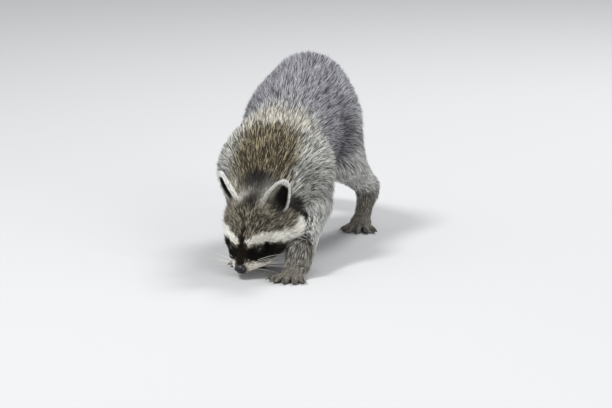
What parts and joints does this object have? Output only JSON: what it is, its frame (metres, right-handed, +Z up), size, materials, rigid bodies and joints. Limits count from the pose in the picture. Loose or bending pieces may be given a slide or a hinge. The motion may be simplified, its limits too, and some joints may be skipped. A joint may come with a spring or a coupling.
{
  "type": "raccoon",
  "caption": "Life-size still raccoon walking with its head down, nose close to the ground, ringed tail carried low.",
  "frame": {"origin": "on the floor, under the middle of the animal's bounding box", "axes": "+Z up, +Y towards the tail, +X to the animal's left"},
  "size_m": [0.2182, 0.6394, 0.279],
  "materials": {
    "coat": "grizzled grey-brown fur with a dark face mask, white brows and cheeks and a ringed tail",
    "paw": "short dark grey hair over bare black soles",
    "claw": "smooth dark horn",
    "nose": "moist black, finely pebbled",
    "eye": "wet dark brown, almost black"
  },
  "bodies": {
    "root": {"head": "coat", "neck": "coat", "trunk": "coat", "tail_base": "coat", "tail_middle": "coat", "tail_tip": "coat", "ear_left": "coat", "ear_right": "coat", "foreleg_left": "coat", "foreleg_right": "coat", "hindleg_left": "coat", "hindleg_right": "coat", "forepaw_left": "paw", "forepaw_right": "paw", "hindpaw_left": "paw", "hindpaw_right": "paw", "nose": "nose", "eye_left": "eye", "eye_right": "eye"}
  },
  "joints": []
}
